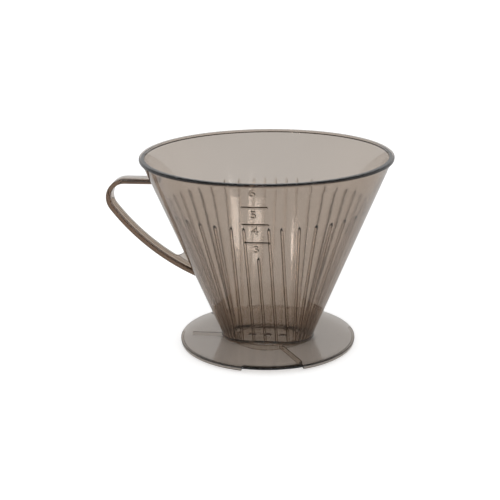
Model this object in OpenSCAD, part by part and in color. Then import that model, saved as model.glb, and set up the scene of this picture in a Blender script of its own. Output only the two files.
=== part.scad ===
// Pour-over coffee dripper: a wedge-shaped filter cone on a round flange,
// moulded in one shot from clear smoke-brown plastic.
// The frame: +Z up, Z = 0 at the foot of the locating collar, the cone's axis on Z.
// The foot slot runs along X, the handle points to -X and the cup marks face -Y.

/* [Cone] */
// Outside diameter of the rim bead
rim_d = 136; // [112:1:160]
// Height of the cone, from the flange's top to the rim's top
cone_h = 103; // [84:1:126]
// Outside length of the cone's foot, along the slot
foot_l = 50; // [40:1:60]
// Outside width of the cone's foot, across the slot
foot_w = 27; // [22:0.5:34]
// Wall thickness of the cone, square to its surface
wall_t = 2; // [1.4:0.1:3]

/* [Rim bead] */
// Height of the rim bead
bead_h = 2.5; // [1.8:0.1:4]
// How far the bead stands out past the wall below it
bead_out = 1.8; // [1:0.1:3]
// Rounding of the bead's two outer edges
bead_round = 0.8; // [0.3:0.1:0.8]

/* [Filter ribs] */
// Width of a rib
rib_w = 1.4; // [1:0.1:2.2]
// How far a rib stands in from the wall, square to the wall
rib_d = 1.5; // [0.8:0.1:2.4]
// How far below the rim's top the ribs stop
rib_stop = 27; // [20:1:50]
// How far below the lowest cup mark the short middle rib on the front stops
short_rib_stop = 10.2; // [4:0.1:20]
// How far past the end of the foot's straight the last straight rib stands
rib_past = 1; // [0.5:0.1:1.5]
// Straight ribs on each side of the middle one
straight_side_ribs = 2; // [1:1:2]
// Angle from one fanned rib to the next, round the ends of the foot
fan_step = 9.9; // [8:0.1:12]
// Fanned ribs on each side of the middle one, at each end
fan_side_ribs = 7; // [3:1:7]

/* [Cup marks] */
// How far below the rim's top the lowest cup mark lies
mark_stop = 35.3; // [32:0.1:50]
// Rise from the lowest mark to the second
mark_rise = 11.1; // [8:0.1:12]
// How much less each further mark rises, because the cone widens
mark_rise_cut = 0.8; // [0:0.1:1]
// Number of bars; the top cup mark is the edge of the rim itself
marks = 3; // [1:1:3]
// Length of a bar
mark_l = 13.7; // [8:0.1:20]
// Height of a bar
mark_w = 0.9; // [0.6:0.1:1.6]
// How far a bar stands out of the wall
mark_d = 0.4; // [0.2:0.05:0.8]

/* [Flange] */
// Diameter of the flange
flange_d = 97; // [84:0.2:120]
// Thickness of the flange and of the drain floor
flange_t = 1.2; // [1:0.1:2.4]
// Radial width of the lip segments under the flange's edge
lip_w = 2.2; // [1.4:0.1:4]
// How far the lip segments reach below the flange
lip_d = 1.2; // [0.8:0.1:1.4]
// Length of one lip segment as an angle
lip_arc = 80; // [40:1:105]

/* [Underside] */
// Outside diameter of the collar that drops into the jug's mouth
collar_d = 34; // [31:0.5:44]
// Height of the collar below the flange
collar_h = 2.8; // [2.6:0.1:8]
// Wall thickness of the collar
collar_t = 1.8; // [1.2:0.1:2.4]
// How far the collar's root flares out where it meets the flange
collar_flare = 0.4; // [0.2:0.1:0.8]
// Width of the spacer ribs that hold the flange off the mug's rim
spacer_w = 1.8; // [1:0.1:3]
// Height of the spacer ribs below the flange
spacer_d = 1.8; // [1.5:0.1:2.2]
// How far short of the lip the spacer ribs stop
spacer_stop = 3.8; // [2:0.1:6]

/* [Drain holes] */
// Diameter of a drain hole
drain_d = 4; // [2.5:0.1:5]
// Spacing of the drain holes along the slot
drain_pitch = 8.5; // [6.5:0.1:9]
// Number of drain holes
drains = 3; // [1:2:3]

/* [Handle] */
// How far the handle reaches out past the rim
handle_out = 19.7; // [16:0.1:26]
// How far below the rim's top the handle's top lies
handle_stop = 14.3; // [10:0.1:20]
// Width of the handle strap
handle_w = 10.4; // [6:0.1:12]
// Thickness of the handle strap
handle_t = 2.4; // [1.8:0.1:4]
// Outer radius of the handle's top corner
handle_corner_r = 10.5; // [8:0.5:13]
// Outer radius of the long bow of the lower arm
handle_bow_r = 120; // [100:0.5:160]
// Thickness of the web inside the loop
web_t = 2; // [1.4:0.1:3]
// Height of the web above the strap
web_h = 1.2; // [0.6:0.1:2]
// Radius of the web's hollow where the lower arm meets the wall
web_r = 4.2; // [3:0.1:6]
// Size of the small gusset under the top arm
gusset = 3; // [2:0.1:5]

/* [Hidden] */
$fn = 96;
bow_fn = 720;
smoke = [0.42, 0.33, 0.27, 0.72];
smoke_dark = [0.33, 0.25, 0.20, 0.80];
smoke_pale = [0.52, 0.44, 0.38, 0.65];

// The spacer ribs stand at three places; one of them is under the handle.
spacer_count = 3;
spacer_first = 180;

// Heights; those above the foot are counted from the flange's top
flange_z = collar_h;
foot_z = flange_z + flange_t;
wall_h = cone_h - bead_h;
rib_top = cone_h - rib_stop;
mark_z = cone_h - mark_stop;
short_rib_top = mark_z - short_rib_stop;
handle_top = cone_h - handle_stop;

// The foot is two half circles joined by straights; the straights shrink to
// nothing at the rim, so the front and the back are flat triangles.
foot_half = (foot_l - foot_w) / 2;
rib_pitch = (foot_half + rib_past) / straight_side_ribs;
// Slopes and depths are kept to four decimals, so that faces that meet are the same face.
function four(v) = round(v * 1e4) / 1e4;
flare = four((rim_d / 2 - bead_out - foot_w / 2) / wall_h);
end_lean = four(foot_half / cone_h);
square_up = sqrt(1 + flare * flare);
function wall_r(z) = foot_w / 2 + flare * z;
function straight(z) = foot_half - end_lean * z;

// The collar is straight as far as a mouth can slide over it, to just short of the spacer ribs.
rest_gap = 0.1;
collar_straight = collar_h - spacer_d - rest_gap;

// Radial depths of the layers that follow the wall
wall_in = four(wall_t * square_up);
rib_in = four((wall_t + rib_d) * square_up);
mark_out = four(mark_d * square_up);

// The handle's outer line: a top arm, a corner and one long bow. The corner turns past
// straight down by the angle of a 3-4-5 triangle, so that corner and bow meet exactly.
handle_turn = 36.87;
handle_reach = rim_d / 2 + handle_out;
corner_c = [handle_corner_r - handle_reach, foot_z + handle_top - handle_corner_r];
bow_c = corner_c + (handle_bow_r - handle_corner_r) * [cos(handle_turn), sin(handle_turn)];
bow_start = 180 + handle_turn;
bow_sweep = 40;

// The wall's slant under the handle
lean = flare - end_lean;
lean_up = sqrt(1 + lean * lean);

// The hollow of the web just bites into the wall and into the web's own inner edge.
hollow_bite = 0.1;
hollow_gap = web_r - hollow_bite;
hollow_reach = handle_bow_r - handle_t - web_h - hollow_gap;
hollow_x = foot_l / 2 + hollow_gap * lean_up + bow_c[0];
hollow_drop = bow_c[1] - foot_z;
hollow_b = lean * hollow_x - hollow_drop;
hollow_c = hollow_x * hollow_x + hollow_drop * hollow_drop - hollow_reach * hollow_reach;
hollow_z = (-hollow_b - sqrt(hollow_b * hollow_b - lean_up * lean_up * hollow_c)) / (lean_up * lean_up);
hollow = [-(foot_l / 2 + hollow_gap * lean_up + lean * hollow_z), foot_z + hollow_z];

// ---------- forms that the sub-parts share ----------

// Leans what it holds so that a circle centred over the foot's end
// at the bottom is centred on the axis at the rim.
module at_end(side) {
    translate([side * foot_half, 0, foot_z])
        multmatrix([[1, 0, -side * end_lean, 0], [0, 1, 0, 0], [0, 0, 1, 0], [0, 0, 0, 1]])
            children();
}

// A cone shell between two offsets from the wall's outside
module shell(inner, outer, h) {
    difference() {
        cylinder(h = h, r1 = wall_r(0) + outer, r2 = wall_r(h) + outer);
        cylinder(h = h, r1 = wall_r(0) + inner, r2 = wall_r(h) + inner);
    }
}

// A block that covers the right (1) or the left (-1) of such a shell
module half_block(side, h) {
    reach = wall_r(cone_h);
    translate([side > 0 ? 0 : -reach, -reach, 0])
        cube([reach, 2 * reach, h]);
}

module half_shell(side, inner, outer, h) {
    intersection() {
        shell(inner, outer, h);
        half_block(side, h);
    }
}

// The flat triangle between the two ends, front (-1) or back (1)
module flat_panel(side, inner, outer, h) {
    translate([0, 0, foot_z])
        intersection() {
            rotate([90, 0, 90])
                linear_extrude(height = foot_l, center = true)
                    polygon([
                        [side * (wall_r(0) + inner), 0],
                        [side * (wall_r(0) + outer), 0],
                        [side * (wall_r(h) + outer), h],
                        [side * (wall_r(h) + inner), h]
                    ]);
            rotate([90, 0, 0])
                linear_extrude(height = 2 * rim_d, center = true)
                    polygon([
                        [-straight(0), 0],
                        [straight(0), 0],
                        [straight(h), h],
                        [-straight(h), h]
                    ]);
        }
}

// A layer that follows the whole wall, between two offsets from its outside
module layer(inner, outer, h) {
    for (side = [-1, 1]) {
        at_end(side) half_shell(side, inner, outer, h);
        flat_panel(side, inner, outer, h);
    }
}

// What its children, which stay in front of the axis, share with the front of such
// a layer. Each part of the front is met on its own, and the pieces join where the parts join.
module on_front(inner, outer, h) {
    for (side = [-1, 1])
        intersection() {
            at_end(side) shell(inner, outer, h);
            intersection() {
                children();
                at_end(side) half_block(side, h);
            }
        }
    intersection() {
        flat_panel(-1, inner, outer, h);
        children();
    }
}

// One end of the wall's outer form as a solid, to trim what stands on the wall
module end_form(side) {
    at_end(side)
        cylinder(h = wall_h, r1 = wall_r(0), r2 = wall_r(wall_h));
}

// The foot's outline, between an offset and the middle
module foot_outline(offset_r) {
    r = foot_w / 2 + offset_r;
    for (side = [-1, 1])
        translate([side * foot_half, 0])
            circle(r = r);
    square([2 * foot_half, 2 * r], center = true);
}

// A rib's face: straight sides and a round top
module rib_face(top) {
    translate([-rib_w / 2, 0])
        square([rib_w, top - rib_w / 2]);
    translate([0, top - rib_w / 2])
        circle(d = rib_w);
}

// A straight rib on the front
module straight_rib(x, top) {
    on_front(-rib_in, -wall_in, rib_top)
        translate([x, 0, foot_z])
            rotate([90, 0, 0])
                linear_extrude(height = wall_r(cone_h))
                    rib_face(top);
}

// The straight ribs on both sides of the middle of the front
module rib_pairs() {
    for (flip = [0, 1], i = [1:straight_side_ribs])
        mirror([flip, 0, 0])
            straight_rib(i * rib_pitch, rib_top);
}

// A pie slice that trims a ring to the angles from a0 to a1
module slice(r, a0, a1) {
    far = 2 * r;
    steps = 4;
    polygon(concat([[0, 0]],
        [for (i = [0:steps]) let (a = a0 + (a1 - a0) * i / steps) far * [cos(a), sin(a)]]));
}

// Part of a ring
module ring_slice(r_in, r_out, a0, a1) {
    intersection() {
        difference() {
            circle(r = r_out, $fn = bow_fn);
            circle(r = r_in, $fn = bow_fn);
        }
        slice(r_out, a0, a1);
    }
}

// Stands a drawing of the handle's side upright, its thickness along Y
module side_on(width) {
    rotate([90, 0, 0])
        linear_extrude(height = width, center = true)
            children();
}

// ---------- sub-parts ----------

module cone_wall() {
    color(smoke)
        union()
            layer(-wall_in, 0, wall_h);
}

// The rolled edge on top of the wall; its bore carries on the wall's inner slope.
module rim_bead() {
    r = rim_d / 2;
    r_low = wall_r(wall_h) - wall_in;
    r_high = wall_r(cone_h) - wall_in;
    color(smoke_dark)
        translate([0, 0, foot_z + wall_h])
            difference() {
                union() {
                    cylinder(r = r - bead_round, h = bead_h);
                    translate([0, 0, bead_round])
                        cylinder(r = r, h = bead_h - 2 * bead_round);
                    for (z = [bead_round, bead_h - bead_round])
                        translate([0, 0, z])
                            rotate_extrude()
                                translate([r - bead_round, 0])
                                    circle(r = bead_round);
                }
                cylinder(h = bead_h, r1 = r_low, r2 = r_high);
            }
}

module front_ribs() {
    color(smoke_dark)
        rib_pairs();
}

// The middle rib on the front stops short, which leaves room for the cup marks.
module short_front_rib() {
    color(smoke_dark)
        straight_rib(0, short_rib_top);
}

// The back's ribs mirror the front's, but the middle one is as long as the others.
module back_ribs() {
    color(smoke_dark)
        mirror([0, 1, 0]) {
            rib_pairs();
            straight_rib(0, rib_top);
        }
}

// The ribs round one end follow the slant of the cone, so they fan out as they rise.
module fan_ribs(side) {
    reach = wall_r(cone_h);
    middle = side > 0 ? 0 : 180;
    color(smoke_dark)
        at_end(side)
            intersection() {
                half_shell(side, -rib_in, -wall_in, rib_top);
                for (i = [-fan_side_ribs:fan_side_ribs])
                    rotate([0, 0, middle + i * fan_step])
                        rotate([90, 0, 90])
                            linear_extrude(height = reach)
                                rib_face(rib_top);
            }
}

module right_fan_ribs() {
    fan_ribs(1);
}

module left_fan_ribs() {
    fan_ribs(-1);
}

// Raised bars on the front of the wall, closer together towards the rim
module cup_marks() {
    function mark_height(i) = mark_z + i * mark_rise - mark_rise_cut * i * (i - 1) / 2;
    color(smoke_dark)
        for (i = [0:marks - 1])
            on_front(0, mark_out, wall_h)
                translate([-mark_l / 2, -rim_d, foot_z + mark_height(i) - mark_w / 2])
                    cube([mark_l, rim_d, mark_w]);
}

module drain_floor() {
    color(smoke_pale)
        translate([0, 0, flange_z])
            difference() {
                linear_extrude(height = flange_t)
                    foot_outline(0);
                for (i = [0:drains - 1])
                    translate([(i - (drains - 1) / 2) * drain_pitch, 0, -1])
                        cylinder(d = drain_d, h = flange_t + 2);
            }
}

module base_flange() {
    color(smoke)
        translate([0, 0, flange_z])
            difference() {
                cylinder(d = flange_d, h = flange_t);
                translate([0, 0, -1])
                    linear_extrude(height = flange_t + 2)
                        foot_outline(0);
            }
}

// Three arcs under the flange's edge; each starts beyond the end of a spacer rib.
module flange_lip() {
    r = flange_d / 2;
    rib_angle = asin(spacer_w / (flange_d - 2 * lip_w));
    color(smoke_dark)
        translate([0, 0, flange_z - lip_d])
            for (i = [0:spacer_count - 1])
                rotate([0, 0, spacer_first + i * 360 / spacer_count - rib_angle])
                    rotate_extrude(angle = lip_arc)
                        translate([r - lip_w, 0])
                            square([lip_w, lip_d]);
}

// The collar's outside: straight at its foot, flared at its root
module collar_form() {
    r = collar_d / 2;
    cylinder(r = r, h = collar_h);
    translate([0, 0, collar_straight])
        cylinder(r1 = r, r2 = r + collar_flare, h = collar_h - collar_straight);
}

module locating_collar() {
    r = collar_d / 2;
    lead = collar_t / 4;
    color(smoke_dark)
        difference() {
            collar_form();
            translate([0, 0, -1])
                cylinder(r = r - collar_t, h = collar_h + 2);
            translate([0, 0, -lead])
                cylinder(r1 = r - collar_t + 2 * lead, r2 = r - collar_t, h = 2 * lead);
        }
}

module spacer_ribs() {
    r_out = flange_d / 2 - lip_w - spacer_stop;
    color(smoke_dark)
        difference() {
            translate([0, 0, flange_z - spacer_d])
                intersection() {
                    cylinder(r = r_out, h = spacer_d);
                    for (i = [0:spacer_count - 1])
                        rotate([0, 0, spacer_first + i * 360 / spacer_count])
                            translate([collar_d / 4, -spacer_w / 2, 0])
                                cube([flange_d, spacer_w, spacer_d]);
                }
            collar_form();
        }
}

module handle_strap() {
    arm_end = wall_r(wall_h) / 2;
    color(smoke)
        difference() {
            side_on(handle_w) {
                translate([corner_c[0], corner_c[1] + handle_corner_r - handle_t])
                    square([-corner_c[0] - arm_end, handle_t]);
                translate(corner_c)
                    ring_slice(handle_corner_r - handle_t, handle_corner_r, 90, bow_start);
                translate(bow_c)
                    ring_slice(handle_bow_r - handle_t, handle_bow_r, bow_start, bow_start + bow_sweep);
            }
            end_form(-1);
        }
}

// A web stiffens the inside of the loop and fills its lower corner in a hollow curve;
// a small gusset backs the top arm at the wall.
module handle_web() {
    web_start = 186;
    trim = 2 * wall_t;
    inner_corner_r = handle_corner_r - handle_t;
    inner_bow_r = handle_bow_r - handle_t;
    to_wall = [1, lean] / lean_up;
    wall_end = hollow + (web_r + trim) * to_wall;
    bow_end = bow_c + (hollow - bow_c) * (inner_bow_r + trim) / hollow_reach;
    deep_end = wall_end + 5 * web_r * [lean, -1] / lean_up;
    arm_z = handle_top - handle_t;
    gusset_tip = [-(foot_l / 2 + lean * arm_z) - gusset, foot_z + arm_z];
    gusset_end = gusset_tip + 2 * gusset * [1 + lean, -1];
    color(smoke_pale)
        difference() {
            side_on(web_t) {
                translate(corner_c)
                    ring_slice(inner_corner_r - web_h, inner_corner_r, web_start, bow_start);
                intersection() {
                    difference() {
                        translate(bow_c)
                            circle(r = inner_bow_r, $fn = bow_fn);
                        difference() {
                            translate(bow_c)
                                circle(r = inner_bow_r - web_h, $fn = bow_fn);
                            difference() {
                                polygon([bow_end, hollow, wall_end, deep_end]);
                                translate(hollow)
                                    circle(r = web_r);
                            }
                        }
                    }
                    translate(bow_c)
                        slice(inner_bow_r, bow_start, bow_start + bow_sweep);
                }
                polygon([gusset_tip, gusset_end, [gusset_end[0], gusset_tip[1]]]);
            }
            end_form(-1);
        }
}

cone_wall();
rim_bead();
front_ribs();
short_front_rib();
back_ribs();
right_fan_ribs();
left_fan_ribs();
cup_marks();
drain_floor();
base_flange();
flange_lip();
locating_collar();
spacer_ribs();
handle_strap();
handle_web();
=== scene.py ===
# Looks of a clear smoke-brown pour-over dripper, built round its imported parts.
# Metres, +Z up: the foot's slot runs along X, the handle points to -X, the cup marks face -Y.
import math

import bmesh
import bpy
from mathutils import Matrix, Vector


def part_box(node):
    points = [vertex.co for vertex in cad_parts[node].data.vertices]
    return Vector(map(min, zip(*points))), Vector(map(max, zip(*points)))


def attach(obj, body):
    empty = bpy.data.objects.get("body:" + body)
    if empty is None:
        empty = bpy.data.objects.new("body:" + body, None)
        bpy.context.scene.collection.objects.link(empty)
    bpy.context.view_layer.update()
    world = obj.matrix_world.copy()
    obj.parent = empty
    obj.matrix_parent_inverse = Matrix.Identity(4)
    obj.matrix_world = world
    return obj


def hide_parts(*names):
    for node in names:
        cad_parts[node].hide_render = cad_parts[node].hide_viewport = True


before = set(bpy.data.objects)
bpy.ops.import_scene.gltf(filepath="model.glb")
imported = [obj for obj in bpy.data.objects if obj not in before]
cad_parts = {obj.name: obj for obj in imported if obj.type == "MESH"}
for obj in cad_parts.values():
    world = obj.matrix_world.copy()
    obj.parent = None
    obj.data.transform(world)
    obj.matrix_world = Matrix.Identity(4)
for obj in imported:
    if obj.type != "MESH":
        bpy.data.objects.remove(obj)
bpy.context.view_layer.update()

MM = 0.001
CAD_NODES = sorted(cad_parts)

# ---------- sizes that the CAD parts give ----------

RIM_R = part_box("rim_bead")[1].x
RIM_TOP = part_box("rim_bead")[1].z
WALL_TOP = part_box("cone_wall")[1].z
WALL_TOP_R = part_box("cone_wall")[1].y
FLANGE_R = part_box("base_flange")[1].x
FLANGE_LOW, FLANGE_TOP = (corner.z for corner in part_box("base_flange"))
FOOT_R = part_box("drain_floor")[1].y
FOOT_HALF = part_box("drain_floor")[1].x - FOOT_R
COLLAR_ROOT_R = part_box("locating_collar")[1].x
COLLAR_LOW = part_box("locating_collar")[0].z
SPACER_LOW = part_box("spacer_ribs")[0].z
SPACER_OUT = -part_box("spacer_ribs")[0].x
LIP_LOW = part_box("flange_lip")[0].z
RIB_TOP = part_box("back_ribs")[1].z
SHORT_RIB_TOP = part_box("short_front_rib")[1].z
MARK_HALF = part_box("cup_marks")[1].x
HANDLE_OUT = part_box("handle_strap")[0].x
HANDLE_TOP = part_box("handle_strap")[1].z
HANDLE_W = 2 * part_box("handle_strap")[1].y
WEB_T = 2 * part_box("handle_web")[1].y

# ---------- sizes of the details ----------

# The wall, the rim bead and the foot.
WALL_T = 2.0 * MM
RIM_EDGE = 0.3 * MM
BEAD_RISE = 0.5 * MM
BEAD_ROUND = 0.8 * MM
BEAD_ROOT = 0.4 * MM
FOOT_FILLET = 2.0 * MM
FOOT_STEP = 0.5 * MM
FOOT_STEP_H = 2.2 * FOOT_STEP
STEP_EDGE = 0.3 * MM
STEP_TOP_EDGE = 0.2 * MM

# The ribs inside the wall, each with a hollow root, an eased crest and a pointed run-out.
RIB_W = 1.4 * MM
RIB_D = 1.2 * MM
RIB_PITCH = 6.25 * MM
RIB_FAN = math.radians(9.9)
STRAIGHT_RIBS = 5
FAN_RIBS = 15
RIB_DRAFT = 0.08 * MM
RIB_FILLET = 0.18 * MM
RIB_EDGE = 0.35 * MM
RIB_NOSE_IN = 0.2 * MM
RIB_NOSE_OUT = 1.8 * MM
RIB_NOSE_CURVE = 1.7
RIB_TIP = 0.03

# The cup marks, at these heights above the flange; the rim is the top one.
MARK_W = 1.5 * MM
MARK_D = 0.7 * MM
MARK_TIP = 0.05
MARK_HEIGHTS = (89.5 * MM, 79.2 * MM, 68.1 * MM)

# The numbers below the marks: each figure, its middle's height above the flange, and how far
# it is stretched across.
NUMBERS = (("6", 98.3 * MM, 1.15), ("5", 85.6 * MM, 1.0), ("4", 75.7 * MM, 1.2), ("3", 64.4 * MM, 1.0))
NUMBER_X = -0.5 * MM
NUMBER_H = 4.5 * MM
NUMBER_D = 1.0 * MM
NUMBER_SUNK = 0.4
# These two are shares of the letter's own size.
NUMBER_EDGE = 0.06
NUMBER_THINNED = 0.03

# The flange and what stands under it.
FLANGE_TOP_EDGE = 0.5 * MM
FLANGE_LOW_EDGE = 0.3 * MM
LIP_W = 1.4 * MM
LIP_INSET = 0.2 * MM
LIP_BED = 2.2 * MM
LIP_ARC = math.radians(80)
SPACER_W = 1.8 * MM
SPACERS = 3
FIRST_SPACER = math.pi
COLLAR_T = 1.2 * MM
COLLAR_STRAIGHT = 0.9 * MM
COLLAR_FLARE = 0.4 * MM
COLLAR_R = COLLAR_ROOT_R - COLLAR_FLARE
COLLAR_EDGE = 0.3 * MM
COLLAR_MOUTH_EDGE = 0.6 * MM
DRAIN_R = 2.0 * MM
DRAIN_EASE = 0.3 * MM
DRAIN_PITCH = 8.5 * MM
DRAINS = 3

# The handle: a strap round a tight corner and down a wide bow, with a web inside it.
HANDLE_T = 2.4 * MM
HANDLE_EDGE = 0.4 * MM
CORNER_R = 10.5 * MM
BOW_R = 120 * MM
BOW_TURN = math.atan2(3, 4)
BOW_SWEEP = math.radians(40)
WEB_H = 1.2 * MM
WEB_HOLLOW = 4.2 * MM
WEB_START = math.pi + math.radians(6)
GUSSET = 3.0 * MM

# How far forms run into one another before they are fused.
EMBED = 0.5 * MM
STRAP_EMBED = 0.4 * MM
WALL_EMBED = 1.2 * MM
BOW_EMBED = 6 * MM
CORE_RISE = 4 * MM

# The edge of the thin forms, and how finely the shapes are divided.
THIN_EDGE = 0.25 * MM
MEETING = 2e-7
LONGEST = 6 * MM
EDGE_STEPS = 3
ARC_STEPS = 6
LIP_STEPS = 40
CORNER_STEPS = 40
BOW_STEPS = 60
CREST_STEPS = 50
WEB_CORNER_STEPS = 8
HOLLOW_STEPS = 12
RIB_STATIONS = 18
RIB_NOSE_STATIONS = 8
RIB_ROOT_STEPS = 3
RIB_CREST_STEPS = 4
MARK_STATIONS = 24
MARK_STEPS = 8
SPIN_COLUMNS = 109
DRAIN_COLUMNS = 25
BEVEL_ABOVE = math.radians(50)
SHARP_ABOVE = math.radians(32)

# A place on the wall, as a turn round the axis.
FRONT = -math.pi / 2
BACK = math.pi / 2

# The wall leans out evenly, and the straights of its foot close up at the rim.
FLARE = (WALL_TOP_R - FOOT_R) / (WALL_TOP - FLANGE_TOP)
CLOSING = FOOT_HALF / (RIM_TOP - FLANGE_TOP)
SQUARE_UP = math.hypot(1, FLARE)


def wall_r(z):
    """Radius of the wall's outside at a height."""
    return FOOT_R + FLARE * (z - FLANGE_TOP)


def straight(z):
    """Half the straight between the wall's round ends at a height."""
    return FOOT_HALF - CLOSING * (z - FLANGE_TOP)


def inside(depth):
    """How much a layer's radius is less than the wall's, for its depth square to the wall."""
    return depth * SQUARE_UP


# ---------- node trees written as expressions ----------

class Sock:
    """An output socket of a node tree that takes part in Python expressions."""

    def __init__(self, graph, out):
        self.graph = graph
        self.out = out

    def math(self, operation, a, b=None):
        values = {0: a} if b is None else {0: a, 1: b}
        return self.graph.make("ShaderNodeMath", {"operation": operation}, values)

    def __add__(self, other):
        return self.math("ADD", self, other)

    def __radd__(self, other):
        return self.math("ADD", other, self)

    def __sub__(self, other):
        return self.math("SUBTRACT", self, other)

    def __rsub__(self, other):
        return self.math("SUBTRACT", other, self)

    def __mul__(self, other):
        return self.math("MULTIPLY", self, other)

    def __rmul__(self, other):
        return self.math("MULTIPLY", other, self)

    def __truediv__(self, other):
        return self.math("DIVIDE", self, other)

    def floor(self):
        return self.math("FLOOR", self)

    def cos(self):
        return self.math("COSINE", self)

    def sin(self):
        return self.math("SINE", self)

    def sqrt(self):
        return self.math("SQRT", self)

    def abs(self):
        return self.math("ABSOLUTE", self)

    def at_least(self, other):
        return self.math("MAXIMUM", self, other)

    def above(self, other):
        return self.math("GREATER_THAN", self, other)


class Graph:
    """A node tree. One method makes every node: its settings first, then its inputs' values or links."""

    def __init__(self, tree):
        self.tree = tree

    def make(self, kind, settings=None, values=None, out=0):
        node = self.tree.nodes.new(kind)
        for name, value in (settings or {}).items():
            if name == "stops":
                set_stops(node.color_ramp, value)
            else:
                setattr(node, name, value)
        for key, value in (values or {}).items():
            if isinstance(value, Sock):
                self.tree.links.new(value.out, node.inputs[key])
            else:
                node.inputs[key].default_value = value
        return Sock(self, node.outputs[out])

    def split(self, vector):
        parts = self.make("ShaderNodeSeparateXYZ", {}, {0: vector})
        return [Sock(self, out) for out in parts.out.node.outputs]

    def join(self, x, y, z):
        return self.make("ShaderNodeCombineXYZ", {}, {0: x, 1: y, 2: z})


def set_stops(ramp, stops):
    """Puts a colour ramp's stops at their places."""
    while len(ramp.elements) < len(stops):
        ramp.elements.new(0.5)
    for element, (place, colour) in zip(ramp.elements, stops):
        element.position = place
        element.color = colour


class Shaper(Graph):
    """A geometry tree with named inputs, which ends in Realize Instances and Set Material."""

    def __init__(self, name, **inputs):
        super().__init__(bpy.data.node_groups.new(name, "GeometryNodeTree"))
        face = self.tree.interface
        face.new_socket("Geometry", in_out="INPUT", socket_type="NodeSocketGeometry")
        face.new_socket("Geometry", in_out="OUTPUT", socket_type="NodeSocketGeometry")
        for title, value in inputs.items():
            kind = "NodeSocketInt" if isinstance(value, int) else "NodeSocketFloat"
            face.new_socket(title, in_out="INPUT", socket_type=kind).default_value = value
        self.given = self.tree.nodes.new("NodeGroupInput")

    def input(self, title):
        return Sock(self, self.given.outputs[title])

    def finish(self, geometry):
        real = self.make("GeometryNodeRealizeInstances", {}, {"Geometry": geometry})
        done = self.make("GeometryNodeSetMaterial", {}, {"Geometry": real, "Material": PLASTIC})
        end = self.tree.nodes.new("NodeGroupOutput")
        self.tree.links.new(done.out, end.inputs["Geometry"])
        return self.tree


def shaped(piece, tree, **inputs):
    """Runs a geometry tree on an object and leaves the object with the plain result."""
    modifier = piece.modifiers.new(tree.name, "NODES")
    modifier.node_group = tree
    for item in tree.interface.items_tree:
        if item.in_out == "INPUT" and item.name in inputs:
            modifier[item.identifier] = inputs[item.name]
    return applied(piece)


def applied(piece):
    """Swaps an object's mesh for what its modifiers make of it."""
    depsgraph = bpy.context.evaluated_depsgraph_get()
    mesh = bpy.data.meshes.new_from_object(piece.evaluated_get(depsgraph), depsgraph=depsgraph)
    piece.modifiers.clear()
    piece.data = mesh
    return piece


# ---------- meshes from points ----------

def new_piece(name, points, edges=(), faces=()):
    """An object made from points, edges and faces."""
    mesh = bpy.data.meshes.new(name)
    mesh.from_pydata([tuple(p) for p in points], edges, faces)
    piece = bpy.data.objects.new(name, mesh)
    bpy.context.scene.collection.objects.link(piece)
    return piece


def line_piece(name, points):
    """A chain of points, for a tree that spins it or follows it."""
    return new_piece(name, points, [(i, i + 1) for i in range(len(points) - 1)])


def outward(piece):
    """Merges what meets and turns every face outwards."""
    shape = bmesh.new()
    shape.from_mesh(piece.data)
    bmesh.ops.remove_doubles(shape, verts=shape.verts, dist=MEETING)
    bmesh.ops.recalc_face_normals(shape, faces=shape.faces)
    if shape.calc_volume(signed=True) < 0:
        bmesh.ops.reverse_faces(shape, faces=shape.faces)
    shape.to_mesh(piece.data)
    shape.free()
    return piece


def rounded(corners):
    """A line through corners, each given as (point, radius), with its corners turned to arcs."""
    line = []
    for i, (point, radius) in enumerate(corners):
        if radius == 0 or i in (0, len(corners) - 1):
            line.append(Vector(point))
            continue
        corner = Vector(point)
        back = (Vector(corners[i - 1][0]) - corner).normalized()
        on = (Vector(corners[i + 1][0]) - corner).normalized()
        half = back.angle(on) / 2
        centre = corner + (back + on).normalized() * radius / math.sin(half)
        start = corner + back * radius / math.tan(half) - centre
        end = corner + on * radius / math.tan(half) - centre
        sweep = start.angle(end)
        for step in range(ARC_STEPS + 1):
            t = step / ARC_STEPS
            share = math.sin((1 - t) * sweep) * start + math.sin(t * sweep) * end
            line.append(centre + share / math.sin(sweep))
    return line


def filled_in(line):
    """The same line with its long stretches divided."""
    full = [line[0]]
    for a, b in zip(line, line[1:]):
        parts = max(1, math.ceil((b - a).length / LONGEST))
        full += [a.lerp(b, i / parts) for i in range(1, parts + 1)]
    return full


def arc(centre, radius, start, end, steps):
    """Points of an arc in the handle's plane, as (x, z)."""
    turns = [start + (end - start) * i / steps for i in range(steps + 1)]
    return [Vector((centre[0] + radius * math.cos(turn), centre[1] + radius * math.sin(turn)))
            for turn in turns]


# ---------- the moulded plastic ----------

# The colour that a depth of plastic gives, and how strongly.
SMOKE = (0.56, 0.42, 0.28, 1)
SMOKE_DENSITY = 340.0
REFRACTION = 1.57
# The roughness of the clean surface, and what smears and wipe marks add.
CLEAN_ROUGH = 0.03
SMEAR_ROUGH = 0.03
WIPE_ROUGH = 0.02
SMEARED = (0.96, 0.95, 0.94, 1)
UNSMEARED = (1.0, 1.0, 1.0, 1)
RIPPLE_SHARE = 0.7
FLOW_SHARE = 0.3
FLOW_STRETCH = (1.0, 1.0, 0.12)
RIPPLE_STRENGTH = 0.12
RIPPLE_DEPTH = 0.4 * MM


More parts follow.
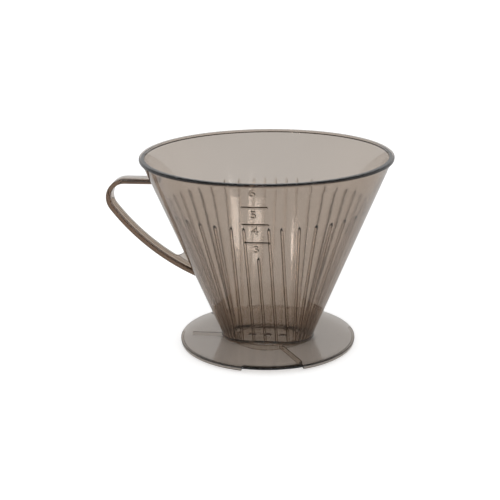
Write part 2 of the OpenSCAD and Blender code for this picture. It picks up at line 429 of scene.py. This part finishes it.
def smoke_plastic():
    """Clear smoke-brown plastic: its colour lies in its depth, with faint mould ripples and wipe marks."""
    material = bpy.data.materials.new("smoke_clear_plastic")
    material.use_nodes = True
    material.node_tree.nodes.clear()
    g = Graph(material.node_tree)
    place = g.make("ShaderNodeTexCoord", {}, {}, out="Object")
    ripple = g.make("ShaderNodeTexNoise", {}, {"Vector": place, "Scale": 55.0, "Detail": 2.0})
    stretched = g.make("ShaderNodeMapping", {}, {"Vector": place, "Scale": FLOW_STRETCH})
    flow = g.make("ShaderNodeTexNoise", {}, {"Vector": stretched, "Scale": 140.0, "Detail": 3.0})
    wipe = g.make("ShaderNodeTexNoise", {}, {"Vector": place, "Scale": 900.0, "Detail": 4.0})
    height = ripple * RIPPLE_SHARE + flow * FLOW_SHARE
    bump = g.make("ShaderNodeBump", {}, {
        "Height": height, "Strength": RIPPLE_STRENGTH, "Distance": RIPPLE_DEPTH})
    smear = g.make("ShaderNodeTexNoise", {}, {"Vector": place, "Scale": 24.0, "Detail": 5.0})
    rough = CLEAN_ROUGH + smear * SMEAR_ROUGH + wipe * WIPE_ROUGH
    # A Mix node's inputs 6 and 7 are its two colours, and its output 2 is their mix.
    tint = g.make("ShaderNodeMix", {"data_type": "RGBA"}, {
        "Factor": smear, 6: SMEARED, 7: UNSMEARED}, out=2)
    shader = g.make("ShaderNodeBsdfPrincipled", {}, {
        "Base Color": tint, "Roughness": rough, "IOR": REFRACTION, "Transmission Weight": 1.0,
        "Normal": bump})
    depth = g.make("ShaderNodeVolumeAbsorption", {}, {"Color": SMOKE, "Density": SMOKE_DENSITY})
    end = material.node_tree.nodes.new("ShaderNodeOutputMaterial")
    g.tree.links.new(shader.out, end.inputs["Surface"])
    g.tree.links.new(depth.out, end.inputs["Volume"])
    return material


PLASTIC = smoke_plastic()


# ---------- geometry trees ----------

def spin_tree():
    """Spins a profile round the cone. A profile's point holds (radius, straight, height): the
    two halves of the turn stand apart by the straight, so a round form becomes a slot form."""
    g = Shaper("spin_profile", Columns=SPIN_COLUMNS)
    profile = g.input("Geometry")
    half = g.input("Columns")
    size = g.make("GeometryNodeAttributeDomainSize", {"component": "MESH"}, {"Geometry": profile})
    across = half * 2
    grid = g.make("GeometryNodeMeshGrid", {}, {
        "Size X": across, "Size Y": size - 1, "Vertices X": across + 1, "Vertices Y": size})
    x, y, _ = g.split(g.make("GeometryNodeInputPosition"))
    column = (x + across * 0.5 + 0.5).floor()
    row = (y + (size - 1) * 0.5 + 0.5).floor()
    column = column - across * (column / across + 0.001).floor()
    second = column.above(half - 0.5)
    angle = math.pi * (second - 0.5 + (column - second * half) / (half - 1))
    point = g.make("GeometryNodeSampleIndex", {"data_type": "FLOAT_VECTOR"}, {
        "Geometry": profile, "Value": g.make("GeometryNodeInputPosition"), "Index": row})
    radius, apart, height = g.split(point)
    place = g.join((1 - second * 2) * apart + radius * angle.cos(), radius * angle.sin(), height)
    spun = g.make("GeometryNodeSetPosition", {}, {"Geometry": grid, "Position": place})
    merged = g.make("GeometryNodeMergeByDistance", {}, {"Geometry": spun, "Distance": MEETING})
    return g.finish(merged)


def wall_tree():
    """Repeats a blank and lays it on the wall. The blank's X runs across the wall, its Y is the
    depth from the wall's outside and its Z the height. On a flat face the copies stand a pitch
    apart; round an end they fan out by a turn."""
    g = Shaper("repeat_on_wall", Count=1, Pitch=0.0, Fan=0.0, Turn=0.0, Flat=1.0, Side=0.0, Skip=-1)
    count, flat, turn = g.input("Count"), g.input("Flat"), g.input("Turn")
    places = g.make("GeometryNodeMeshLine", {}, {"Count": count, "Offset": (0, 0, 0)})
    order = g.make("GeometryNodeInputIndex")
    # A Compare node's inputs 2 and 3 are its two whole numbers.
    left_out = g.make("FunctionNodeCompare", {"data_type": "INT", "operation": "EQUAL"}, {
        2: order, 3: g.input("Skip")})
    kept = g.make("GeometryNodeStoreNamedAttribute", {"data_type": "FLOAT", "domain": "POINT"}, {
        "Geometry": places, "Name": "place", "Value": order - (count - 1) * 0.5})
    kept = g.make("GeometryNodeDeleteGeometry", {"domain": "POINT"}, {
        "Geometry": kept, "Selection": left_out})
    copies = g.make("GeometryNodeInstanceOnPoints", {}, {
        "Points": kept, "Instance": g.input("Geometry")})
    real = g.make("GeometryNodeRealizeInstances", {}, {"Geometry": copies})
    place = g.make("GeometryNodeInputNamedAttribute", {"data_type": "FLOAT"}, {"Name": "place"})
    x, depth, z = g.split(g.make("GeometryNodeInputPosition"))
    height = z - FLANGE_TOP
    across = x + place * g.input("Pitch")
    apart = FOOT_HALF - height * CLOSING
    radius = FOOT_R + height * FLARE - depth * SQUARE_UP
    beyond = (across.abs() - apart * flat).at_least(0.0)
    reach = (radius * radius - beyond * beyond).sqrt()
    angle = turn + place * g.input("Fan")
    centre = (1 - flat) * g.input("Side") * apart
    laid = g.join(centre + reach * angle.cos() - across * angle.sin(),
                  reach * angle.sin() + across * angle.cos(), z)
    on_wall = g.make("GeometryNodeSetPosition", {}, {"Geometry": real, "Position": laid})
    return g.finish(on_wall)


def ring_tree():
    """Repeats what it is given evenly round the cone's axis."""
    g = Shaper("repeat_round_axis", Count=3, First=0.0)
    count = g.input("Count")
    places = g.make("GeometryNodeMeshLine", {}, {"Count": count, "Offset": (0, 0, 0)})
    angle = g.input("First") + g.make("GeometryNodeInputIndex") * (2 * math.pi) / count
    copies = g.make("GeometryNodeInstanceOnPoints", {}, {
        "Points": places, "Instance": g.input("Geometry"), "Rotation": g.join(0.0, 0.0, angle)})
    return g.finish(copies)


def row_tree():
    """Repeats what it is given in a row along the slot."""
    g = Shaper("repeat_along_slot", Count=3, Pitch=0.0)
    count, pitch = g.input("Count"), g.input("Pitch")
    places = g.make("GeometryNodeMeshLine", {}, {
        "Count": count, "Start Location": g.join((count - 1) * pitch * -0.5, 0.0, 0.0),
        "Offset": g.join(pitch, 0.0, 0.0)})
    copies = g.make("GeometryNodeInstanceOnPoints", {}, {
        "Points": places, "Instance": g.input("Geometry")})
    return g.finish(copies)


def sweep_tree():
    """Sweeps a bar with rounded edges along a line."""
    g = Shaper("sweep_bar", Width=HANDLE_W, Thickness=HANDLE_T, Edge=HANDLE_EDGE)
    line = g.make("GeometryNodeMeshToCurve", {}, {"Mesh": g.input("Geometry")})
    bar = g.make("GeometryNodeCurvePrimitiveQuadrilateral", {}, {
        "Width": g.input("Width"), "Height": g.input("Thickness")})
    edge = g.make("GeometryNodeFilletCurve", {"mode": "POLY"}, {
        "Curve": bar, "Radius": g.input("Edge"), "Count": EDGE_STEPS})
    swept = g.make("GeometryNodeCurveToMesh", {}, {
        "Curve": line, "Profile Curve": edge, "Fill Caps": True})
    return g.finish(swept)


# ---------- the cone, the rim bead, the floor and the flange: one lofted body ----------

def moulded_body():
    """The body's profile, from the middle of the floor over the rim to the flange's underside, spun."""
    step_top = FLANGE_TOP + FOOT_STEP_H
    bead_low = WALL_TOP + BEAD_RISE
    corners = [
        ((0, FOOT_HALF, FLANGE_TOP), 0),
        ((FOOT_R - inside(WALL_T), FOOT_HALF, FLANGE_TOP), FOOT_FILLET),
        ((wall_r(RIM_TOP) - inside(WALL_T), 0, RIM_TOP), RIM_EDGE),
        ((RIM_R, 0, RIM_TOP), BEAD_ROUND),
        ((RIM_R, 0, bead_low), BEAD_ROUND),
        ((wall_r(bead_low), straight(bead_low), bead_low), BEAD_ROOT),
        ((wall_r(step_top), straight(step_top), step_top), STEP_TOP_EDGE),
        ((wall_r(step_top) + FOOT_STEP, straight(step_top), step_top - FOOT_STEP / 2), STEP_EDGE),
        ((FOOT_R + FOOT_STEP, FOOT_HALF, FLANGE_TOP), STEP_EDGE),
        ((FLANGE_R, 0, FLANGE_TOP), FLANGE_TOP_EDGE),
        ((FLANGE_R, 0, FLANGE_LOW), FLANGE_LOW_EDGE),
        ((0, 0, FLANGE_LOW), 0),
    ]
    profile = filled_in(rounded(corners))
    return outward(shaped(line_piece("moulded_body", profile), SPIN))


# ---------- ribs, cup marks and numbers on the wall ----------

def rib_section():
    """A rib's half section as (half width, height over the wall): hollow root, side, round crest."""
    half = RIB_W / 2
    section = [(half + RIB_FILLET, -EMBED)]
    for step in range(1, RIB_ROOT_STEPS + 1):
        a = math.radians(90 * step / RIB_ROOT_STEPS)
        section.append((half + RIB_FILLET * (1 - math.sin(a)), RIB_FILLET * (1 - math.cos(a))))
    for step in range(RIB_CREST_STEPS + 1):
        a = math.radians(90 * step / RIB_CREST_STEPS)
        section.append((half - RIB_DRAFT - RIB_EDGE * (1 - math.cos(a)),
                        RIB_D - RIB_EDGE * (1 - math.sin(a))))
    return section


def rib_blank(name, low, high):
    """A rib's blank: its section carried up the wall, and shrunk to a pointed run-out on top."""
    section = rib_section()
    start = high - RIB_NOSE_IN
    end = high + RIB_NOSE_OUT
    stations = RIB_STATIONS
    nose = RIB_NOSE_STATIONS
    rings = [(low + (start - low) * i / stations, 1.0) for i in range(stations + 1)]
    rings += [(start + (end - start) * i / nose, 1 - (i / nose) ** RIB_NOSE_CURVE)
              for i in range(1, nose)]
    rings.append((end, RIB_TIP))
    points, faces = [], []
    for z, share in rings:
        side = [(half * share, WALL_T + rise * (share if rise > 0 else 1)) for half, rise in section]
        points += [(x, depth, z) for x, depth in side]
        points += [(-x, depth, z) for x, depth in reversed(side)]
    ring = 2 * len(section)
    for k in range(len(rings) - 1):
        for i in range(ring):
            j = (i + 1) % ring
            faces.append((k * ring + i, k * ring + j, (k + 1) * ring + j, (k + 1) * ring + i))
    faces += [tuple(range(ring)), tuple(range((len(rings) - 1) * ring, len(rings) * ring))]
    return new_piece(name, points, (), faces)


def ribs():
    """Every rib inside the cone: straight ones front and back, fanned ones round the ends."""
    low = FLANGE_TOP - EMBED
    made = []

    def stand(name, top, **where):
        made.append(outward(shaped(rib_blank(name, low, top), ON_WALL, **where)))

    middle = STRAIGHT_RIBS // 2
    stand("front_ribs", RIB_TOP, Count=STRAIGHT_RIBS, Pitch=RIB_PITCH, Turn=FRONT, Skip=middle)
    stand("short_front_rib", SHORT_RIB_TOP, Turn=FRONT)
    stand("back_ribs", RIB_TOP, Count=STRAIGHT_RIBS, Pitch=RIB_PITCH, Turn=BACK)
    for side, turn in ((1.0, 0.0), (-1.0, math.pi)):
        stand("fan_ribs", RIB_TOP, Count=FAN_RIBS, Fan=RIB_FAN, Turn=turn, Flat=0.0, Side=side)
    return made


def cup_marks():
    """Three half-round bars across the front, with round ends."""
    made = []
    for height in MARK_HEIGHTS:
        bar = half_round("cup_mark", FLANGE_TOP + height)
        made.append(outward(shaped(bar, ON_WALL, Turn=FRONT)))
    return made


def half_round(name, level):
    """A bar along X that stands half-round out of the wall and fades at its ends."""
    points, faces = [], []
    reach = MARK_W / 2
    ring = MARK_STEPS + 3
    for i in range(MARK_STATIONS + 1):
        x = -MARK_HALF * math.cos(math.pi * i / MARK_STATIONS)
        end = max(0.0, 1 - (max(0.0, abs(x) - MARK_HALF + reach) / reach) ** 2)
        wide = reach * max(MARK_TIP, math.sqrt(end))
        points.append((x, EMBED, level - wide))
        for j in range(MARK_STEPS + 1):
            a = math.pi * j / MARK_STEPS
            points.append((x, -MARK_D * math.sin(a) * wide / reach, level - wide * math.cos(a)))
        points.append((x, EMBED, level + wide))
    for i in range(MARK_STATIONS):
        for j in range(ring):
            k = (j + 1) % ring
            faces.append((ring * i + j, ring * i + k, ring * (i + 1) + k, ring * (i + 1) + j))
    last = ring * MARK_STATIONS
    faces += [tuple(range(ring)), tuple(range(last, last + ring))]
    return new_piece(name, points, (), faces)


def numbers():
    """Plain raised numbers under the cup marks."""
    made = []
    for figure, height, wide in NUMBERS:
        text = bpy.data.curves.new("number", "FONT")
        text.body = figure
        text.align_x = "CENTER"
        text.extrude = NUMBER_EDGE
        text.bevel_depth = NUMBER_EDGE
        text.bevel_resolution = EDGE_STEPS
        text.offset = -NUMBER_THINNED
        text.resolution_u = ARC_STEPS
        form = bpy.data.objects.new("number_" + figure, text)
        bpy.context.scene.collection.objects.link(form)
        mesh = bpy.data.meshes.new_from_object(form)
        bpy.data.objects.remove(form)
        tall = max(v.co.y for v in mesh.vertices)
        low = min(v.co.y for v in mesh.vertices)
        scale = NUMBER_H / (tall - low)
        thick = max(v.co.z for v in mesh.vertices)
        for v in mesh.vertices:
            depth = (NUMBER_SUNK - (1 + NUMBER_SUNK) * v.co.z / thick) * NUMBER_D
            level = FLANGE_TOP + height + (v.co.y - (tall + low) / 2) * scale
            v.co = (NUMBER_X + v.co.x * scale * wide, depth, level)
        piece = bpy.data.objects.new("number_" + figure, mesh)
        bpy.context.scene.collection.objects.link(piece)
        made.append(outward(shaped(outward(piece), ON_WALL, Turn=FRONT)))
    return made


# ---------- the underside ----------

def underside():
    """The lip and the spacer ribs, three times round, and the collar."""
    high = FLANGE_LOW + EMBED
    # Each lip segment starts flush with one side of a spacer rib.
    back_up = math.asin(SPACER_W / 2 / (FLANGE_R - LIP_BED))
    radius = FLANGE_R - LIP_INSET - LIP_W / 2
    level = (LIP_LOW + high) / 2
    turns = [LIP_ARC * i / LIP_STEPS - back_up for i in range(LIP_STEPS + 1)]
    line = [(radius * math.cos(turn), radius * math.sin(turn), level) for turn in turns]
    lip = outward(shaped(line_piece("flange_lip", line), SWEEP, Width=LIP_W,
                         Thickness=high - LIP_LOW, Edge=THIN_EDGE))
    lip = outward(shaped(lip, RING, Count=SPACERS, First=FIRST_SPACER))
    level = (SPACER_LOW + high) / 2
    line = [(COLLAR_R - EMBED, 0, level), (SPACER_OUT, 0, level)]
    spacer = outward(shaped(line_piece("spacer_rib", line), SWEEP, Width=SPACER_W,
                            Thickness=high - SPACER_LOW, Edge=THIN_EDGE))
    spacer = outward(shaped(spacer, RING, Count=SPACERS, First=FIRST_SPACER))
    bore = COLLAR_R - COLLAR_T
    corners = [
        ((COLLAR_ROOT_R, 0, high), 0),
        ((COLLAR_ROOT_R, 0, FLANGE_LOW), 0),
        ((COLLAR_R, 0, COLLAR_LOW + COLLAR_STRAIGHT), 0),
        ((COLLAR_R, 0, COLLAR_LOW), COLLAR_EDGE),
        ((bore, 0, COLLAR_LOW), COLLAR_MOUTH_EDGE),
        ((bore, 0, high), 0),
        ((COLLAR_ROOT_R, 0, high), 0),
    ]
    collar = outward(shaped(line_piece("locating_collar", rounded(corners)), SPIN))
    return [lip, spacer, collar]


def drain_cutter():
    """What the drain holes take away, with an eased edge above and below."""
    flare = DRAIN_R + 3 * DRAIN_EASE
    clear = 1.0 * MM
    corners = [
        ((0, 0, FLANGE_TOP + clear), 0),
        ((flare, 0, FLANGE_TOP + clear), 0),
        ((flare, 0, FLANGE_TOP), 0),
        ((DRAIN_R, 0, FLANGE_TOP), DRAIN_EASE),
        ((DRAIN_R, 0, FLANGE_LOW), DRAIN_EASE),
        ((flare, 0, FLANGE_LOW), 0),
        ((flare, 0, FLANGE_LOW - clear), 0),
        ((0, 0, FLANGE_LOW - clear), 0),
    ]
    line = rounded(corners)
    cutter = outward(shaped(line_piece("drain_cutter", line), SPIN, Columns=DRAIN_COLUMNS))
    return outward(shaped(cutter, ROW, Count=DRAINS, Pitch=DRAIN_PITCH))


# ---------- the handle ----------

CORNER = Vector((HANDLE_OUT + CORNER_R, HANDLE_TOP - CORNER_R))
BOW = CORNER + (BOW_R - CORNER_R) * Vector((math.cos(BOW_TURN), math.sin(BOW_TURN)))
BOW_START = math.pi + BOW_TURN
BOW_END = BOW_START + BOW_SWEEP


def handle_line(inset):
    """The handle's line at a depth inside its outer line, as (x, z), from the wall round to the wall."""
    arm_z = HANDLE_TOP - inset
    arm_end = -(straight(arm_z) + wall_r(arm_z)) / 2
    line = [Vector((arm_end, arm_z))]
    line += arc(CORNER, CORNER_R - inset, math.pi / 2, BOW_START, CORNER_STEPS)
    return line + arc(BOW, BOW_R - inset, BOW_START, BOW_END, BOW_STEPS)[1:]


def handle_strap():
    """The strap, swept along the handle's line."""
    line = [(p.x, 0, p.y) for p in handle_line(HANDLE_T / 2)]
    return outward(shaped(line_piece("handle_strap", line), SWEEP))


def side_form(name, outline):
    """A flat form in the handle's plane, as thick as the web, with its edges rounded."""
    count = len(outline)
    points = [(p.x, y, p.y) for y in (-WEB_T / 2, WEB_T / 2) for p in outline]
    faces = [tuple(range(count)), tuple(range(count, 2 * count))]
    faces += [(i, (i + 1) % count, count + (i + 1) % count, count + i) for i in range(count)]
    piece = outward(new_piece(name, points, (), faces))
    bevel = piece.modifiers.new("edges", "BEVEL")
    bevel.width = THIN_EDGE
    bevel.segments = EDGE_STEPS
    bevel.angle_limit = BEVEL_ABOVE
    return outward(applied(piece))


def handle_web():
    """The web inside the loop, which fills the loop's lower corner in a hollow curve."""
    strap_in = BOW_R - HANDLE_T
    crest = strap_in - WEB_H
    lean = FLARE - CLOSING
    slant = math.hypot(1, lean)
    # The hollow's circle touches the wall on one side and the web's crest on the other.
    reach = crest - WEB_HOLLOW
    foot_x = FOOT_HALF + FOOT_R + WEB_HOLLOW * slant + BOW.x
    drop = BOW.y - FLANGE_TOP
    b = lean * foot_x - drop
    c = foot_x ** 2 + drop ** 2 - reach ** 2
    height = (-b - math.sqrt(b * b - slant ** 2 * c)) / slant ** 2
    hollow_x = -(FOOT_HALF + FOOT_R + WEB_HOLLOW * slant + lean * height)
    hollow = Vector((hollow_x, FLANGE_TOP + height))
    to_crest = math.atan2(hollow.y - BOW.y, hollow.x - BOW.x) % (2 * math.pi)
    to_wall = math.atan2(lean, 1)
    wall_point = hollow + WEB_HOLLOW * Vector((math.cos(to_wall), math.sin(to_wall)))
    corner_in = CORNER_R - HANDLE_T
    outline = arc(CORNER, corner_in + STRAP_EMBED, WEB_START, BOW_START, WEB_CORNER_STEPS)
    outline += arc(BOW, strap_in + STRAP_EMBED, BOW_START, BOW_END, BOW_STEPS)[1:]
    outline += [BOW + (crest - BOW_EMBED) * Vector((math.cos(BOW_END), math.sin(BOW_END)))]
    outline += [wall_point + WALL_EMBED * Vector((1, 0))]
    outline += arc(hollow, WEB_HOLLOW, to_wall, to_crest - 2 * math.pi, HOLLOW_STEPS)
    outline += arc(BOW, crest, to_crest, BOW_START, CREST_STEPS)[1:]
    outline += arc(CORNER, corner_in - WEB_H, BOW_START, WEB_START, WEB_CORNER_STEPS)[1:-1]
    return side_form("handle_web", outline)


def handle_gusset():
    """The small gusset between the wall and the handle's top arm."""
    lean = FLARE - CLOSING
    arm_low = HANDLE_TOP - HANDLE_T
    wall_x = -(FOOT_HALF + FOOT_R + lean * (arm_low - FLANGE_TOP))
    corner = Vector((wall_x, arm_low))
    outline = [
        corner + Vector((-GUSSET - STRAP_EMBED, STRAP_EMBED)),
        corner + Vector((-GUSSET, 0)),
        corner + Vector((GUSSET * lean, -GUSSET)),
        corner + Vector((GUSSET * lean + WALL_EMBED, -GUSSET)),
        corner + Vector((WALL_EMBED, STRAP_EMBED)),
    ]
    return side_form("handle_gusset", outline)


def cone_core():
    """The room inside the wall's middle, which trims the handle's ends."""
    skin = inside(WALL_T / 2)
    low = FLANGE_TOP + CORE_RISE
    corners = [
        (0, straight(low), low),
        (wall_r(low) - skin, straight(low), low),
        (wall_r(RIM_TOP) - skin, 0, RIM_TOP),
        (0, 0, RIM_TOP),
    ]
    line = filled_in([Vector(corner) for corner in corners])
    return outward(shaped(line_piece("cone_core", line), SPIN))


# ---------- fusing ----------

def combine(base, operation, others):
    """Adds forms to a base, or takes them away, and deletes them."""
    for other in others:
        cut = base.modifiers.new("fuse", "BOOLEAN")
        cut.operation = operation
        cut.solver = "MANIFOLD"
        cut.object = other
        applied(base)
        bpy.data.objects.remove(other)
    return base


def dripper():
    """The whole moulding, fused to one clear solid."""
    body = combine(moulded_body(), "UNION", ribs() + cup_marks() + numbers() + underside())
    handle = combine(handle_strap(), "UNION", [handle_web(), handle_gusset()])
    handle = combine(handle, "DIFFERENCE", [cone_core()])
    body = combine(body, "UNION", [handle])
    body = combine(body, "DIFFERENCE", [drain_cutter()])
    body.name = "dripper_moulding"
    body.data.name = "dripper_moulding"
    body.data.materials.clear()
    body.data.materials.append(PLASTIC)
    body.data.shade_smooth()
    body.data.set_sharp_from_angle(angle=SHARP_ABOVE)
    return body


SPIN = spin_tree()
ON_WALL = wall_tree()
RING = ring_tree()
ROW = row_tree()
SWEEP = sweep_tree()

moulding = dripper()
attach(moulding, "root")
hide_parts(*CAD_NODES)


# ---------- the studio ----------

# The level that the floor and the backdrop have through the plastic.
THROUGH = 0.68
WHITE = (1, 1, 1, 1)
FLOOR_HALF = 12.0
FLOOR_PAINT = 0.8
# What the floor shines by itself where it is seen directly, so that it shows white.
FLOOR_LIFT = 0.5
# The share of the floor that is an even grey through the plastic, and keeps no shadow.
FLOOR_EVEN = 0.2
# The dome's level at each height, from the horizon at 0 to overhead at 1.
MIRRORED_DOME = ((0.0, 0.72), (0.35, 0.68), (0.6, 0.3), (1.0, 0.12))
DOME_THROUGH = ((0.0, THROUGH), (0.36, THROUGH), (0.65, 0.12), (1.0, 0.05))
# The level of the surroundings where they light what is matt.
FILL = 0.8
# Each softbox: its turn to the right and its rise in degrees, its width and height, its level.
SOFTBOXES = {
    "softbox_front": (9, 36.8, (0.55, 0.12), 5.0),
    "softbox_right": (39, 32.4, (0.45, 0.12), 6.0),
    "softbox_left": (-24, 33.4, (0.25, 0.12), 11.0),
}
SOFTBOX_FAR = 1.5
SOFTBOX_AIM = (0, 0.05, 0.075)
CAMERA_AT = (61.0 * MM, -584.7 * MM, FLANGE_TOP + 234.4 * MM)
CAMERA_PITCH = math.radians(17.48)
CAMERA_YAW = math.radians(6.87)
CAMERA_ROLL = math.radians(-0.68)
SENSOR_W = 36.0
FOCAL_LENGTH = 80.97
BOUNCES = 40
BOUNCES_THROUGH = 36
BOUNCES_MIRRORED = 12


def studio_floor():
    """A pale floor that shows white, and keeps a soft shadow."""
    size = FLOOR_HALF
    corners = [(-size, -size, 0), (size, -size, 0), (size, size, 0), (-size, size, 0)]
    floor = new_piece("floor", corners, (), [(0, 1, 2, 3)])
    material = bpy.data.materials.new("floor_white")
    material.use_nodes = True
    material.node_tree.nodes.clear()
    g = Graph(material.node_tree)
    ray = g.make("ShaderNodeLightPath")
    outs = ray.out.node.outputs
    paint = (FLOOR_PAINT, FLOOR_PAINT, FLOOR_PAINT, 1)
    matt = g.make("ShaderNodeBsdfDiffuse", {}, {"Color": paint})
    shine = Sock(g, outs["Is Camera Ray"]) * FLOOR_LIFT
    lift = g.make("ShaderNodeEmission", {}, {"Color": WHITE, "Strength": shine})
    direct = g.make("ShaderNodeAddShader", {}, {0: matt, 1: lift})
    grey = g.make("ShaderNodeEmission", {}, {"Color": WHITE, "Strength": THROUGH})
    even = Sock(g, outs["Is Transmission Ray"]) * FLOOR_EVEN
    both = g.make("ShaderNodeMixShader", {}, {0: even, 1: direct, 2: grey})
    end = material.node_tree.nodes.new("ShaderNodeOutputMaterial")
    g.tree.links.new(both.out, end.inputs["Surface"])
    floor.data.materials.append(material)


def dome(g, levels, up):
    """A background whose grey changes with the height, as (height, level) pairs say."""
    stops = [(height, (level, level, level, 1)) for height, level in levels]
    grey = g.make("ShaderNodeValToRGB", {"stops": stops}, {"Fac": up})
    return g.make("ShaderNodeBackground", {}, {"Color": grey, "Strength": 1.0})


def studio_world():
    """White where it is seen directly; round the object a soft dome that darkens upwards."""
    world = bpy.data.worlds.new("studio")
    bpy.context.scene.world = world
    world.use_nodes = True
    world.node_tree.nodes.clear()
    g = Graph(world.node_tree)
    way = g.make("ShaderNodeTexCoord", {}, {}, out="Generated")
    _, _, up = g.split(way)
    mirrored = dome(g, MIRRORED_DOME, up)
    through = dome(g, DOME_THROUGH, up)
    fill = g.make("ShaderNodeBackground", {}, {"Color": WHITE, "Strength": FILL})
    white = g.make("ShaderNodeBackground", {}, {"Color": WHITE, "Strength": 1.0})
    ray = g.make("ShaderNodeLightPath")
    outs = ray.out.node.outputs
    before_floor = 1 - Sock(g, outs["Diffuse Depth"]).above(0.5)
    by_mirror = Sock(g, outs["Is Glossy Ray"]) * before_floor
    by_lens = Sock(g, outs["Is Transmission Ray"]) * before_floor
    mixed = g.make("ShaderNodeMixShader", {}, {0: by_mirror, 1: fill, 2: mirrored})
    mixed = g.make("ShaderNodeMixShader", {}, {0: by_lens, 1: mixed, 2: through})
    mixed = g.make("ShaderNodeMixShader", {}, {0: Sock(g, outs["Is Camera Ray"]), 1: mixed, 2: white})
    end = world.node_tree.nodes.new("ShaderNodeOutputWorld")
    g.tree.links.new(mixed.out, end.inputs["Surface"])


def softbox(name, turn, rise, size, level):
    """A plain area lamp before the cone, aimed at the back of the cone."""
    rise = math.radians(rise)
    turn = math.radians(turn)
    way = Vector((math.cos(rise) * math.sin(turn), -math.cos(rise) * math.cos(turn), math.sin(rise)))
    lamp = bpy.data.lights.new(name, "AREA")
    lamp.shape = "RECTANGLE"
    lamp.size, lamp.size_y = size
    lamp.energy = level * math.pi * size[0] * size[1]
    box = bpy.data.objects.new(name, lamp)
    bpy.context.scene.collection.objects.link(box)
    box.location = Vector(SOFTBOX_AIM) + way * SOFTBOX_FAR
    box.rotation_euler = (-way).to_track_quat("-Z", "Y").to_euler()


def camera():
    """Looks down on the dripper from the side of the cup marks, a little to the right."""
    lens = bpy.data.cameras.new("camera")
    lens.sensor_width = SENSOR_W
    lens.lens = FOCAL_LENGTH
    lens.clip_start = 0.01
    eye = bpy.data.objects.new("camera", lens)
    bpy.context.scene.collection.objects.link(eye)
    turn = Matrix.Rotation(CAMERA_YAW, 4, "Z") @ Matrix.Rotation(math.pi / 2 - CAMERA_PITCH, 4, "X")
    turn = turn @ Matrix.Rotation(CAMERA_ROLL, 4, "Z")
    eye.matrix_world = Matrix.Translation(CAMERA_AT) @ turn
    bpy.context.scene.camera = eye


studio_floor()
studio_world()
for box_name, box_values in SOFTBOXES.items():
    softbox(box_name, *box_values)
camera()

scene = bpy.context.scene
scene.view_settings.view_transform = "Standard"
scene.cycles.max_bounces = BOUNCES
scene.cycles.transmission_bounces = BOUNCES_THROUGH
scene.cycles.glossy_bounces = BOUNCES_MIRRORED

bpy.context.view_layer.update()
